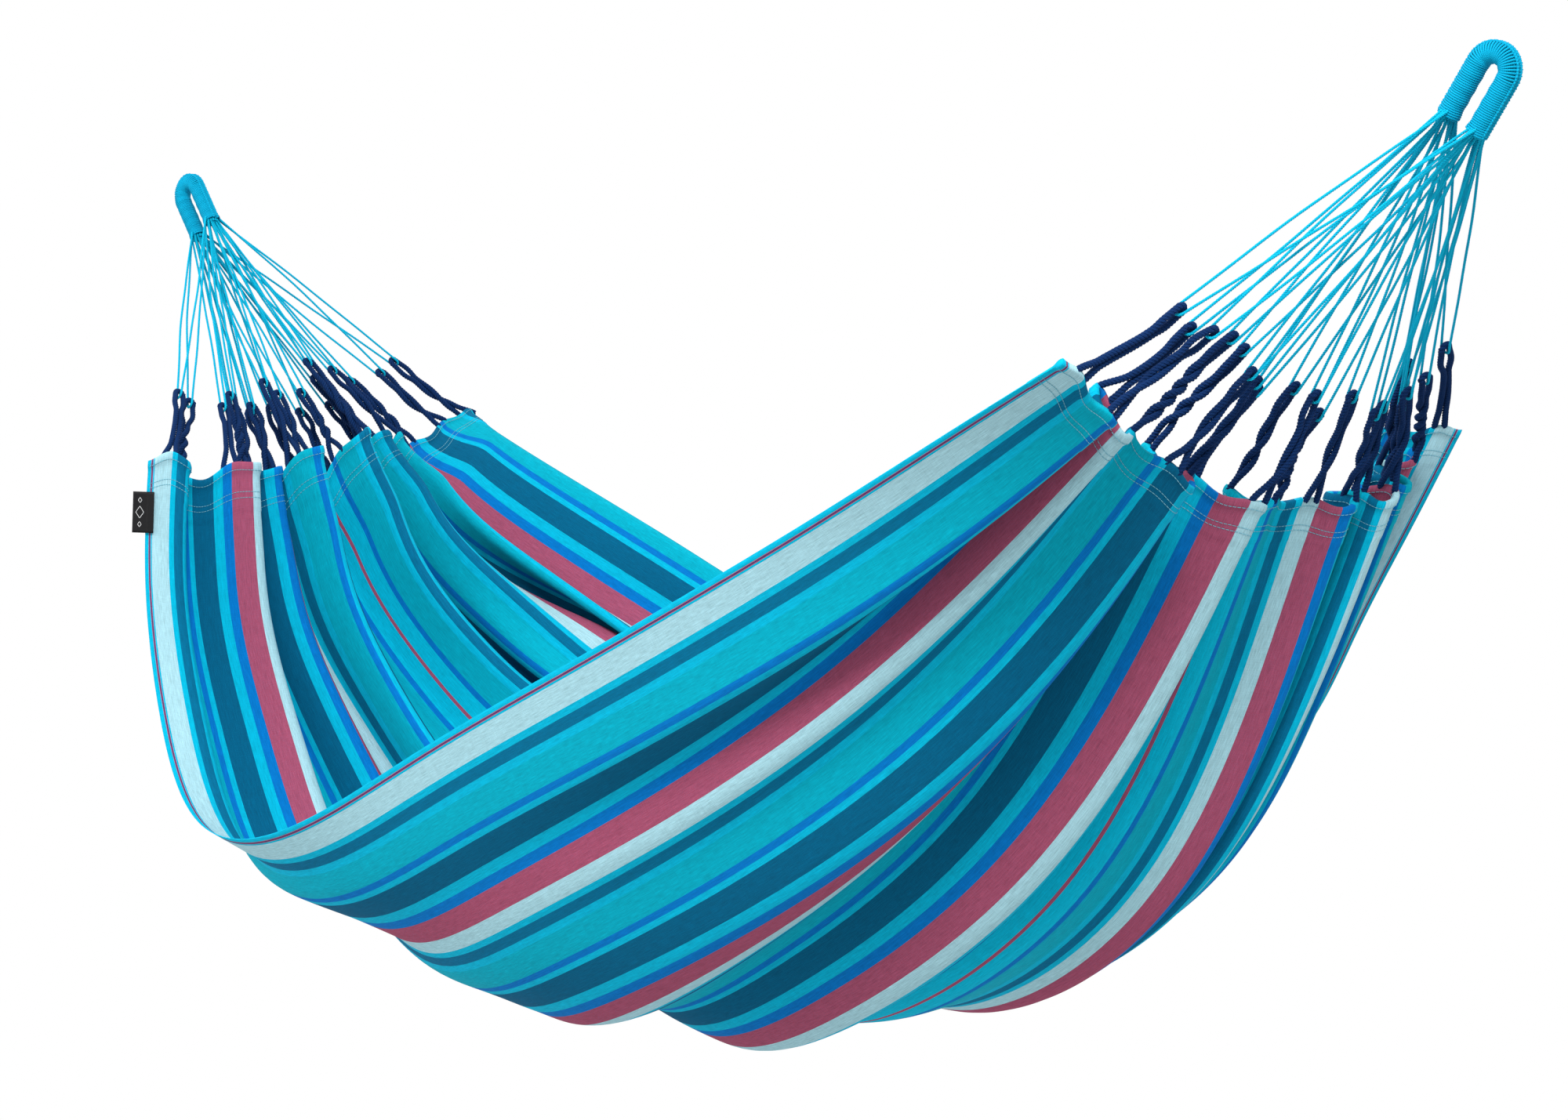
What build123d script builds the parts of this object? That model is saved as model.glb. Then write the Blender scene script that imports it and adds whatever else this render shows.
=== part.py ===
"""A woven cloth hammock, hung between two hooks: cloth bed, twisted rope loops, suspension cords and two eyes.

Millimetres. X runs from the left hook to the right hook, Z is up, and the origin is the left hook's seat.
"""

import os
from math import copysign, cos, radians, sin

from build123d import *

# Hang of the hammock
hook_span = 2250
pull_angle = 56  # below the horizontal, at each hook

# Cloth bed: (near edge, lowest point, far edge) of each cross-section, from the left hem to the right hem
cross_sections = [
    ((300, -300, -407), (300, -20, -425), (250, 345, -335)),
    ((296, -305, -584), (345, 10, -615), (370, 370, -395)),
    ((350, -322, -770), (440, 20, -780), (530, 395, -465)),
    ((490, -365, -905), (590, 20, -955), (700, 408, -545)),
    ((730, -408, -895), (830, 20, -1100), (900, 414, -640)),
    ((1000, -410, -774), (1115, 0, -1185), (1180, 410, -775)),
    ((1265, -410, -655), (1400, -10, -1110), (1480, 400, -890)),
    ((1490, -410, -554), (1640, -10, -960), (1730, 385, -800)),
    ((1670, -414, -472), (1790, 0, -785), (1850, 370, -640)),
    ((1850, -422, -388), (1890, 10, -615), (1930, 362, -510)),
    ((2010, -430, -315), (1965, 30, -467), (2010, 360, -374)),
]
cloth_thickness = 3
hem_thickness = 8
fullness = 2.4  # 2 is a parabola, more is a fuller bag
curve_steps = 10
surface_tolerance = 0.3

# Eyes: a bundle of cords bent into a U, inside a braided sleeve, whipped at both leg ends
sleeve_radius = 12.5
core_radius = 8
eye_bend_radius = 20
eye_leg = 65
whipping_radius = 14.5
whipping_length = 12

# Rope loops at the hems and the suspension cords
loops_per_end = 20
rope_radius = 3.35
loop_length = 140
loop_length_spread = 16
loop_leg_gap = 13
loop_insert = 12
cord_radius = 1.4
cord_gap = 3.5  # between the eye's leg ends and the first point of the cords
cord_row_pitch = 3.6
cord_rows = 3
link_radius = rope_radius + cord_radius + 0.35

# Hem stitching and label
stitch_radius = 0.6
stitch_rows = (22, 28)  # distance of each seam from the hem's edge
stitches_per_row = 40
label_length = 58
label_reach = 20
label_thickness = 1.2
label_drop = 82  # from the hem's corner to the label's middle
label_margin = 9
label_margin_thickness = 4.6
label_hinge_gap = 0.9
label_direction = Vector(-0.65, -0.76, 0)


def section_vectors(section):
    near, low, far = (Vector(*point) for point in section)
    middle = (near + far) * 0.5
    return middle, (far - near) * 0.5, low - middle


def section_point(section, u):
    """A point of the hanging curve and its direction, for u from -1 at the near edge to 1 at the far edge."""
    middle, half_chord, drop = section_vectors(section)
    point = middle + half_chord * u + drop * (1 - abs(u) ** fullness)
    slope = half_chord - drop * (fullness * copysign(abs(u) ** (fullness - 1), u))
    return point, slope.normalized()


def surface_points():
    """The middle surface of the cloth, one row of points for each cross-section."""
    places = [2 * step / curve_steps - 1 for step in range(curve_steps + 1)]
    return [[section_point(section, u)[0] for u in places] for section in cross_sections]


def moved_off(rows, thicknesses):
    """The rows of points moved square to their surface by half of each row's thickness."""
    last_row, last_point = len(rows) - 1, len(rows[0]) - 1
    moved = []
    for i, (row, thickness) in enumerate(zip(rows, thicknesses)):
        new_row = []
        for j, point in enumerate(row):
            lengthwise = rows[min(i + 1, last_row)][j] - rows[max(i - 1, 0)][j]
            crosswise = row[min(j + 1, last_point)] - row[max(j - 1, 0)]
            new_row.append(point + lengthwise.cross(crosswise).normalized() * (thickness / 2))
        moved.append(new_row)
    return moved


def cloth_solid(rows, thicknesses):
    """Upper and lower face of the cloth, closed by a narrow face along each of its four edges."""
    faces = [
        Face.make_surface_from_array_of_points(moved_off(rows, signed), tol=surface_tolerance)
        for signed in (thicknesses, [-thickness for thickness in thicknesses])
    ]
    upper, lower = faces
    for edge in upper.edges():
        opposite = lower.edges().sort_by_distance(edge @ 0.5)[0]
        faces.append(Face.make_surface_from_curves(edge, opposite))
    return Solid(Shell(faces))


def hem_places(section, count):
    """Evenly spaced points along a hem, each with the hem's direction there."""
    fine = [section_point(section, step / 100 - 1) for step in range(201)]
    reach = [0]
    for (before, _), (after, _) in zip(fine, fine[1:]):
        reach.append(reach[-1] + (after - before).length)
    places = []
    for number in range(count):
        goal = reach[-1] * (number + 0.5) / count
        nearest = min(range(201), key=lambda index: abs(reach[index] - goal))
        places.append(fine[nearest])
    return places


def tube(path, radius):
    """A round rope along the path."""
    with BuildPart() as rope:
        with BuildSketch(path ^ 0):
            Circle(radius)
        sweep(path=path)
    return rope.part


def write(piece, name):
    piece.label = name
    export_step(piece, f"parts/{name}.step")
    print(name, round(piece.volume), "mm3", len(piece.solids()), "solids")


os.makedirs("parts", exist_ok=True)

# Cloth bed, thicker at the two hems where the cloth is folded over the ropes
row_thicknesses = [cloth_thickness] * len(cross_sections)
row_thicknesses[0] = row_thicknesses[-1] = hem_thickness
with BuildPart() as cloth_bed:
    add(cloth_solid(surface_points(), row_thicknesses))
write(cloth_bed.part, "cloth_bed")


def make_eye(side, seat, pull):
    """The core, sleeve and whippings of one eye; its U lies in the XZ plane and its inside rests on the hook."""
    plane = Plane(origin=seat, x_dir=pull, z_dir=(0, 1, 0))
    bend_x = eye_bend_radius - sleeve_radius
    end_x = bend_x + eye_leg
    with BuildLine(plane) as path:
        Line((end_x, -eye_bend_radius), (bend_x, -eye_bend_radius))
        CenterArc((bend_x, 0), eye_bend_radius, 270, -180)
        Line((bend_x, eye_bend_radius), (end_x, eye_bend_radius))
    with BuildPart() as core:
        with BuildSketch(path.line ^ 0):
            Circle(core_radius)
        sweep(path=path.line)
    write(core.part, f"{side}_eye_core")
    with BuildPart() as sleeve:
        with BuildSketch(path.line ^ 0):
            Circle(sleeve_radius)
            Circle(core_radius, mode=Mode.SUBTRACT)
        sweep(path=path.line)
    write(sleeve.part, f"{side}_eye_sleeve")
    leg_ends = [seat + pull * end_x + plane.y_dir * (eye_bend_radius * sign) for sign in (-1, 1)]
    with BuildPart() as whipping:
        for leg_end in leg_ends:
            with BuildSketch(Plane(origin=leg_end, z_dir=-pull)):
                Circle(whipping_radius)
                Circle(sleeve_radius, mode=Mode.SUBTRACT)
            extrude(amount=whipping_length)
    write(whipping.part, f"{side}_eye_whippings")
    return plane, leg_ends


def make_loops(side, hem, leg_ends, across):
    """Rope loops from the hem towards the eye; returns the place and direction of each loop's tip."""
    eye_end = (leg_ends[0] + leg_ends[1]) * 0.5
    tips = []
    for number, (place, along_hem) in enumerate(hem_places(hem, loops_per_end)):
        towards_eye = (eye_end - place).normalized()
        length = loop_length + loop_length_spread * sin(2.4 * number)
        tip = place + towards_eye * length
        spread = (across - towards_eye * across.dot(towards_eye)).normalized()
        opening = towards_eye.cross(spread)
        if opening.dot(along_hem) < 0:
            opening = opening * -1
        half_gap = along_hem * (loop_leg_gap / 2)
        corners = (tip - opening * (link_radius + 0.2), tip + opening * (link_radius + 0.2))
        exits = []
        for corner, foot in zip(corners, (place - half_gap, place + half_gap)):
            exits.append(foot + (foot - corner).normalized() * loop_insert)
        path = FilletPolyline(exits[0], corners[0], corners[1], exits[1], radius=link_radius)
        write(tube(path, rope_radius), f"{side}_rope_loop_{number + 1:02d}")
        tips.append((tip, towards_eye, spread))
    return tips


def make_cords(side, tips, leg_ends, pull):
    """One cord through each rope loop, from one leg of the eye to the other."""
    hairpins = []
    across = (leg_ends[1] - leg_ends[0]).normalized()
    for number, (tip, towards_eye, spread) in enumerate(tips):
        row = number % cord_rows - (cord_rows - 1) / 2
        lateral = (number - (loops_per_end - 1) / 2) * cord_row_pitch / cord_rows
        shift = Vector(0, lateral, 0) + across * (row * cord_row_pitch) + pull * cord_gap
        starts = [leg_end + shift for leg_end in leg_ends]
        turn = tip - towards_eye * link_radius
        corners = [turn - spread * (link_radius + 0.2), turn + spread * (link_radius + 0.2)]
        path = FilletPolyline(starts[0], corners[0], corners[1], starts[1], radius=link_radius)
        hairpins.append(tube(path, cord_radius))
    write(Part() + hairpins, f"{side}_suspension_cords")


def make_stitches(side, hem, inward_section):
    """Two rows of lockstitches through the folded hem."""
    stitches = []
    places = hem_places(hem, stitches_per_row)
    targets = hem_places(inward_section, stitches_per_row)
    for (place, along_hem), (target, _) in zip(places, targets):
        inward = (target - place).normalized()
        through = along_hem.cross(inward)
        for row in stitch_rows:
            plane = Plane(origin=place + inward * row, z_dir=through)
            with BuildPart(plane) as stitch:
                Cylinder(stitch_radius, hem_thickness + 2)
            stitches.append(stitch.part)
    write(Part() + stitches, f"{side}_hem_stitches")


ends = {
    "left": (Vector(0, 0, 0), 1, cross_sections[0], cross_sections[1]),
    "right": (Vector(hook_span, 0, 0), -1, cross_sections[-1], cross_sections[-2]),
}
for side, (seat, direction, hem, next_section) in ends.items():
    pull = Vector(direction * cos(radians(pull_angle)), 0, -sin(radians(pull_angle)))
    eye_plane, leg_ends = make_eye(side, seat, pull)
    tips = make_loops(side, hem, leg_ends, eye_plane.y_dir)
    make_cords(side, tips, leg_ends, pull)
    make_stitches(side, hem, next_section)

# Label: a folded tab whose margin is sewn to the near edge, a little below the left hem, and whose flap swings
edge_top, edge_next = Vector(*cross_sections[0][0]), Vector(*cross_sections[1][0])
down_edge = (edge_next - edge_top).normalized()
label_out = (label_direction - down_edge * label_direction.dot(down_edge)).normalized()
label_place = edge_top + down_edge * label_drop
label_normal = down_edge.cross(label_out)
with BuildPart() as label_margin_piece:
    with BuildSketch(Plane(origin=label_place - label_out * (label_margin / 2), x_dir=down_edge, z_dir=label_normal)):
        Rectangle(label_length, label_margin)
    extrude(amount=label_margin_thickness / 2, both=True)
write(label_margin_piece.part, "label_margin")
flap_middle = label_place + label_out * (label_hinge_gap + label_reach / 2)
with BuildPart() as label_flap:
    with BuildSketch(Plane(origin=flap_middle, x_dir=down_edge, z_dir=label_normal)):
        Rectangle(label_length, label_reach)
    extrude(amount=label_thickness / 2, both=True)
write(label_flap.part, "label_flap")
hinge = label_place + label_out * label_hinge_gap
print("label hinge", hinge, "axis", down_edge)
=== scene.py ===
"""The looks of a striped cloth hammock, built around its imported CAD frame.

Metres. X runs from the left hook to the right hook, Z is up, the origin is the left hook's seat.
"""

import math

import bpy
import numpy as np
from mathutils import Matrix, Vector


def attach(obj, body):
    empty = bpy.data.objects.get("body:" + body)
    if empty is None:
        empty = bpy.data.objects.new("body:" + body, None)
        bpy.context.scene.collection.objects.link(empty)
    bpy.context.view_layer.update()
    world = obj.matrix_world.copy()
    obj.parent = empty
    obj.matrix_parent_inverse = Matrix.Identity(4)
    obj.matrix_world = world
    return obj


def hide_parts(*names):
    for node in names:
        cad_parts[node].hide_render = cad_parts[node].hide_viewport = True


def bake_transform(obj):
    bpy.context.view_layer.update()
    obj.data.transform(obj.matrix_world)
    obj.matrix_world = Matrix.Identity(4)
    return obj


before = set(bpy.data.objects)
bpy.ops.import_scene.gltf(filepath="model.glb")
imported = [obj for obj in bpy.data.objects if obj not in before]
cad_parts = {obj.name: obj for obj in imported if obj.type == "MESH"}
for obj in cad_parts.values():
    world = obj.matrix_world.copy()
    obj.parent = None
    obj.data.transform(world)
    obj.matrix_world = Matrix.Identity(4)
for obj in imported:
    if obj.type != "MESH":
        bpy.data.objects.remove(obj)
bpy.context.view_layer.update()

# ---------------------------------------------------------------- sizes
HOOK_SPAN = 2.25
PULL_ANGLE = math.radians(56)  # how steeply both eyes pull down
CLOTH_WIDTH = 1.60
CLOTH_LENGTH = 2.30
FULLNESS = 2.4  # above 2, the hanging curve across the cloth is rounder than a parabola
LOOPS = 20
STRANDS = 3
ROPE_RADIUS = 0.0040
ROPE_LAY = 0.0125  # one turn of the strands takes this length
LOOP_LENGTH = 0.140
LOOP_SPREAD = 0.016  # the loops are up to this much longer or shorter
CORD_RADIUS = 0.0018
CORD_LAY = 0.0085
CORD_PITCH = 0.0036  # from one row of cords to the next where they leave the eye
SLEEVE_RADIUS = 0.0125
EYE_BEND = 0.020
EYE_LEG = 0.065
LINK_RADIUS = ROPE_RADIUS + CORD_RADIUS + 0.0003  # a rope or cord bends round the other with this radius
HEM_WIDTH = 0.060
HEM_ZONE = 0.090  # the rows of points are closer together this far from either end
INNER_ROWS = 236
COLUMNS = 281
EDGE_ROLL = 0.105  # how much of the far edge turns over and hangs outside
CLOTH_THICKNESS = 0.0011
WARP_PITCH_MM = 0.95
WEFT_PITCH_MM = 1.1
STITCH_ROWS = (0.010, 0.036, 0.043)  # distances from the hem's edge
STITCH_PITCH = 0.0046
STITCH_LENGTH = 0.0034
STITCH_RADIUS = 0.00042
COIL_PITCH = 0.0025  # the close turns of the sleeve
COIL_RADIUS = 0.00128
PLAIT_PITCH = 0.0105  # the seam along its outside
PLAIT_RADIUS = 0.0016
BLEND_LENGTH = 0.26  # a length along the pull beyond the eye's end; the point it gives is not used
LABEL_MARGIN = 0.009
LABEL_FLAP = 0.0205
LABEL_HALF_LENGTH = 0.029
LABEL_DROP = 0.082  # from the hem's edge to the middle of the label
CAMERA_PLACE = (3.923, -2.987, -0.431)
CAMERA_VIEW = (-0.669, 0.743, -0.0283)
FLOOR_REACH = 25.0
FLOOR_HEIGHT = -1.52
STUDIO_WHITE = 1.0
SHADE = 0.72  # every surface is this much darker than it looks, because the studio is so bright
Y_AXIS = np.array([0.0, 1.0, 0.0])

# The cloth's cross-sections from hem to hem: near edge, lowest point, far edge
SECTIONS = np.array([
    ((0.300, -0.300, -0.407), (0.300, -0.020, -0.425), (0.250, 0.335, -0.335)),
    ((0.296, -0.305, -0.584), (0.345, 0.010, -0.615), (0.370, 0.340, -0.400)),
    ((0.350, -0.322, -0.770), (0.440, 0.020, -0.780), (0.530, 0.350, -0.475)),
    ((0.490, -0.365, -0.905), (0.590, 0.020, -0.955), (0.700, 0.365, -0.555)),
    ((0.730, -0.408, -0.895), (0.830, 0.020, -1.100), (0.900, 0.385, -0.650)),
    ((1.000, -0.410, -0.774), (1.115, 0.000, -1.185), (1.180, 0.400, -0.775)),
    ((1.265, -0.410, -0.655), (1.400, -0.010, -1.110), (1.480, 0.400, -0.890)),
    ((1.490, -0.410, -0.554), (1.640, -0.010, -0.960), (1.730, 0.385, -0.800)),
    ((1.670, -0.414, -0.472), (1.790, 0.000, -0.785), (1.850, 0.370, -0.640)),
    ((1.850, -0.422, -0.388), (1.890, 0.010, -0.615), (1.930, 0.362, -0.510)),
    ((2.010, -0.430, -0.315), (1.965, 0.030, -0.467), (2.010, 0.360, -0.374)),
])

# Stripes from either edge to the middle; the whole cloth is 1843 of these units wide
EDGE_BANDS = [(8, "turquoise"), (1.5, "red"), (1.5, "navy"), (1.5, "red"), (3, "turquoise"), (37, "pale")]
REPEAT_BANDS = [
    (10, "turquoise"), (18, "slate"), (12, "turquoise"), (44, "green"), (10, "blue"), (10, "turquoise"),
    (42, "dark"), (18, "turquoise"), (18, "blue"), (38, "red"), (28, "pale"),
]
REPEATS = 3
CENTRE_BANDS = [(28, "bright"), (3, "red")]
EDGE_WIDTH = sum(width for width, _ in EDGE_BANDS)
REPEAT_WIDTH = sum(width for width, _ in REPEAT_BANDS)
CUT_REPEAT = 94  # how much shows of the last repeat before the middle stripe
CENTRE_START = EDGE_WIDTH + REPEATS * REPEAT_WIDTH + CUT_REPEAT
HALF_UNITS = CENTRE_START + sum(width for width, _ in CENTRE_BANDS)
UNIT = CLOTH_WIDTH / (2 * HALF_UNITS)

# How the cloth leans in its folds, seen from above, at each hem and in the middle: (stripe unit, lean).
# Going from the near edge to the far one, it rises where the lean is above 0 and falls where it is below.
LEFT_LEAN = [
    (0, 0.7), (70, 0.6), (104, -1.2), (150, 0.6), (265, 0.6), (322, -1.9), (400, 0.9), (460, 0.6),
    (503, -1.5), (560, 0.9), (625, 0.8), (675, -1.5), (755, -1.5), (812, 0.8), (858, -0.7), (905, 0.8),
    (1005, 0.9), (1070, -1.3), (1130, -1.3), (1190, 0.9), (1255, 0.8), (1305, -1.5), (1365, -1.3),
    (1425, 0.9), (1480, 0.8), (1527, -1.7), (1570, 0.2), (1700, 0.1), (1790, 0.1), (1843, 0.0),
]
MIDDLE_LEAN = [
    (0, 0.0), (470, 0.0), (585, 0.35), (680, -0.25), (780, -0.3), (820, 0.0), (860, 0.0), (890, -0.4),
    (1000, -0.4), (1080, -0.6), (1155, 1.5), (1235, -1.5), (1315, 1.5), (1395, -1.4), (1475, 1.3),
    (1560, -0.6), (1640, 0.0), (1843, 0.0),
]
RIGHT_LEAN = [
    (0, -0.5), (60, -0.5), (135, -0.5), (165, 1.6), (200, 1.6), (232, -0.7), (272, -0.7), (305, 0.9),
    (365, -0.3), (430, -0.2), (500, 1.5), (580, 1.6), (650, -0.4), (770, -0.5), (820, 1.6), (860, 1.6),
    (890, -0.3), (925, -0.3), (980, 0.5), (1040, -0.4), (1110, -0.9), (1165, 1.6), (1215, -1.3),
    (1275, -1.3), (1350, 1.8), (1430, -1.7), (1500, 1.8), (1580, -1.5), (1640, 1.8), (1700, -1.2),
    (1843, -1.1),
]


def colour(red, green, blue):
    """A linear colour from the screen values of 0 to 255 that it has in the studio light."""
    def linear(value):
        value = value / 255
        return value / 12.92 if value <= 0.04045 else ((value + 0.055) / 1.055) ** 2.4
    return (linear(red) * SHADE, linear(green) * SHADE, linear(blue) * SHADE, 1.0)


COLOURS = {
    "turquoise": colour(0, 182, 216),
    "bright": colour(0, 190, 222),
    "green": colour(0, 170, 192),
    "slate": colour(0, 104, 142),
    "dark": colour(0, 90, 126),
    "blue": colour(0, 114, 196),
    "red": colour(168, 72, 98),
    "pale": colour(172, 216, 225),
    "navy": colour(24, 44, 100),
}


# ---------------------------------------------------------------- small tools
def unit(vectors):
    """The same directions with a length of 1."""
    return vectors / np.maximum(np.linalg.norm(vectors, axis=-1, keepdims=True), 1e-12)


def smooth(value):
    """0 below 0, 1 above 1, and a soft step between."""
    value = np.clip(value, 0.0, 1.0)
    return value * value * (3 - 2 * value)


def spline(knots, values, at):
    """A natural cubic spline through the values, which may be arrays."""
    knots, values = np.asarray(knots, float), np.asarray(values, float)
    count = len(knots)
    gap = np.diff(knots)
    slope = np.diff(values, axis=0) / gap.reshape(-1, *[1] * (values.ndim - 1))
    system = np.zeros((count, count))
    right = np.zeros_like(values)
    system[0, 0] = system[-1, -1] = 1
    for i in range(1, count - 1):
        system[i, i - 1], system[i, i], system[i, i + 1] = gap[i - 1], 2 * (gap[i - 1] + gap[i]), gap[i]
        right[i] = 6 * (slope[i] - slope[i - 1])
    bend = np.linalg.solve(system, right.reshape(count, -1)).reshape(values.shape)
    at = np.clip(np.asarray(at, float), knots[0], knots[-1])
    k = np.clip(np.searchsorted(knots, at, side="right") - 1, 0, count - 2)
    shape = (-1,) + (1,) * (values.ndim - 1)
    h = gap[k].reshape(shape)
    a = (knots[k + 1] - at).reshape(shape) / h
    b = 1 - a
    return a * values[k] + b * values[k + 1] + ((a**3 - a) * bend[k] + (b**3 - b) * bend[k + 1]) * h * h / 6


def running_length(points):
    """The length of the path up to each of its points."""
    steps = np.linalg.norm(np.diff(points, axis=0), axis=1)
    return np.concatenate([[0.0], np.cumsum(steps)])


def between_points(at, knots, points):
    """Straight interpolation between points or directions in space."""
    return np.stack([np.interp(at, knots, points[:, axis]) for axis in range(3)], 1)


def resampled(points, spacing):
    """The same path with evenly spaced points."""
    reach = running_length(points)
    count = max(4, int(round(reach[-1] / spacing)) + 1)
    return between_points(np.linspace(0, reach[-1], count), reach, points)


def sides_along(points):
    """Two directions square to a path at each of its points, with no twist of their own."""
    tangents = unit(np.gradient(points, axis=0))
    side = np.cross(tangents[0], (0.0, 0.0, 1.0))
    if np.linalg.norm(side) < 0.1:
        side = np.cross(tangents[0], Y_AXIS)
    sides = [side / np.linalg.norm(side)]
    for tangent in tangents[1:]:
        side = sides[-1] - tangent * np.dot(sides[-1], tangent)
        sides.append(side / np.linalg.norm(side))
    sides = np.array(sides)
    return sides, np.cross(tangents, sides)


def ring_directions(turn, side, up):
    """The directions at these angles about a path, one for each of its points."""
    return np.cos(turn)[:, None] * side + np.sin(turn)[:, None] * up


def shell_faces(number):
    """Faces of a thin sheet: the upper grid of point numbers, the lower one after it, and the rim."""
    total = number.size
    a, b = number[:-1, :-1].ravel(), number[1:, :-1].ravel()
    c, d = number[1:, 1:].ravel(), number[:-1, 1:].ravel()
    faces = [np.stack([a, b, c, d], 1), np.stack([a, d, c, b], 1) + total]
    for line, flip in ((number[0], False), (number[-1], True), (number[:, 0], True), (number[:, -1], False)):
        first, second = line[:-1], line[1:]
        rim = np.stack([first, second, second + total, first + total], 1)
        faces.append(rim[:, ::-1] if flip else rim)
    return np.concatenate(faces)


class Mesh:
    """Collects tubes and patches, each with texture coordinates, into one object."""

    def __init__(self):
        self.points, self.faces, self.coords, self.count = [], [], [], 0

    def add(self, points, faces, coords):
        self.points.append(points)
        self.faces.append(faces + self.count)
        self.coords.append(coords)
        self.count += len(points)

    def tube(self, path, radius, sides):
        """A round tube along the path with a blunt tip at each end."""
        path = np.asarray(path, float)
        rings = len(path)
        side, up = sides_along(path)
        turn = (np.arange(sides) * 2 * math.pi / sides)[None, :, None]
        ring = np.cos(turn) * side[:, None, :] + np.sin(turn) * up[:, None, :]
        points = (path[:, None, :] + ring * radius).reshape(-1, 3)
        i, j = np.meshgrid(np.arange(rings - 1), np.arange(sides), indexing="ij")
        i, j = i.ravel(), j.ravel()
        this, following = i * sides, (j + 1) % sides
        faces = np.stack([this + j, this + following, this + sides + following, this + sides + j], 1)
        reach = running_length(path)
        around, beyond = j / sides, (j + 1) / sides
        coords = np.stack([
            np.stack([around, reach[i]], 1), np.stack([beyond, reach[i]], 1),
            np.stack([beyond, reach[i + 1]], 1), np.stack([around, reach[i + 1]], 1),
        ], 1)
        self.add(points, faces, coords)
        first = self.count - len(points)
        k = np.arange(sides)
        for ring_number, outwards in ((0, path[0] - path[1]), (rings - 1, path[-1] - path[-2])):
            tip = path[ring_number] + unit(outwards) * (radius * 0.6)
            start = first + ring_number * sides
            tip_number = np.full(sides, self.count)
            cap = [start + (k + 1) % sides, start + k]
            if ring_number:
                cap.reverse()
            self.points.append(tip[None, :])
            self.faces.append(np.stack(cap + [tip_number, tip_number], 1))
            self.coords.append(np.zeros((sides, 4, 2)))
            self.count += 1

    def build(self, name, material):
        """The object; a face that names one point twice becomes a triangle."""
        points = np.concatenate(self.points)
        corners = np.concatenate(self.faces)
        coords = np.concatenate(self.coords)
        faces, layer = [], []
        for face, coord in zip(corners.tolist(), coords.tolist()):
            if face[2] == face[3]:
                faces.append(face[:3])
                layer.extend(coord[:3])
            else:
                faces.append(face)
                layer.extend(coord)
        mesh = bpy.data.meshes.new(name)
        mesh.from_pydata(points.tolist(), [], faces)
        mesh.uv_layers.new(name="UVMap").data.foreach_set("uv", np.array(layer, np.float32).ravel())
        mesh.shade_smooth()
        mesh.materials.append(material)
        mesh.update()
        thing = bpy.data.objects.new(name, mesh)
        bpy.context.scene.collection.objects.link(thing)
        return thing


def twisted(mesh, path, radius, pitch, sides, spacing, phase):
    """A laid rope: strands wound round the path, together as thick as the radius says."""
    path = resampled(path, spacing)
    strand_radius = radius / (1 + 1 / math.sin(math.pi / STRANDS))
    orbit = radius - strand_radius
    side, up = sides_along(path)
    reach = running_length(path)
    for strand in range(STRANDS):
        turn = 2 * math.pi * (reach / pitch + strand / STRANDS) + phase
        mesh.tube(path + ring_directions(turn, side, up) * orbit, strand_radius * 1.06, sides)


# ---------------------------------------------------------------- materials
def new_material(name):
    """A material with one principled shader, its node tree and that shader."""
    material = bpy.data.materials.new(name)
    material.use_nodes = True
    tree = material.node_tree
    tree.nodes.clear()
    output = tree.nodes.new("ShaderNodeOutputMaterial")
    shader = tree.nodes.new("ShaderNodeBsdfPrincipled")
    tree.links.new(shader.outputs[0], output.inputs[0])
    return material, tree, shader


def maths(tree, operation, first, second=None, third=None):
    """The result of one step of arithmetic; each value is a number or an output of another node."""
    node = tree.nodes.new("ShaderNodeMath")
    node.operation = operation
    for socket, value in zip(node.inputs, (first, second, third)):
        if value is None:
            continue
        if isinstance(value, (int, float)):
            socket.default_value = value
        else:
            tree.links.new(value, socket)
    return node.outputs[0]


def mixed(tree, factor, first, second, mode="MIX"):
    """Two colours mixed; sockets 0, 6 and 7 of the node are its factor and its two colours."""
    node = tree.nodes.new("ShaderNodeMix")
    node.data_type = "RGBA"
    node.blend_type = mode
    for socket, value in ((node.inputs[0], factor), (node.inputs[6], first), (node.inputs[7], second)):
        if isinstance(value, (int, float, tuple)):
            socket.default_value = value
        else:
            tree.links.new(value, socket)
    return node.outputs[2]


def noise(tree, vector, scale, detail):
    node = tree.nodes.new("ShaderNodeTexNoise")
    node.inputs["Scale"].default_value = scale
    node.inputs["Detail"].default_value = detail
    node.inputs["Roughness"].default_value = 0.6
    tree.links.new(vector, node.inputs["Vector"])
    return node.outputs["Fac"]


def combined(tree, x, y, z=0.0):
    node = tree.nodes.new("ShaderNodeCombineXYZ")
    for socket, value in zip(node.inputs, (x, y, z)):
        if isinstance(value, (int, float)):
            socket.default_value = value
        else:
            tree.links.new(value, socket)
    return node.outputs[0]


def stretched_noise(tree, x_mm, y_mm, x_scale, y_scale, detail):
    """Noise that is longer one way than the other, from places in millimetres."""
    place = combined(tree, maths(tree, "MULTIPLY", x_mm, x_scale), maths(tree, "MULTIPLY", y_mm, y_scale))
    return noise(tree, place, 1.0, detail)


def banded(tree, place, bands):
    """A colour ramp with one hard-edged band for each stripe; place runs from 0 to 1 over them all."""
    node = tree.nodes.new("ShaderNodeValToRGB")
    ramp = node.color_ramp
    ramp.interpolation = "CONSTANT"
    total = sum(width for width, _ in bands)
    reach = 0.0
    for number, (width, name) in enumerate(bands):
        stop = ramp.elements.new(reach / total) if number else ramp.elements[0]
        stop.color = COLOURS[name]
        reach += width
    ramp.elements.remove(ramp.elements[-1])  # the one that a new ramp has at 1
    tree.links.new(place, node.inputs[0])
    return node.outputs[0]


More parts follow.
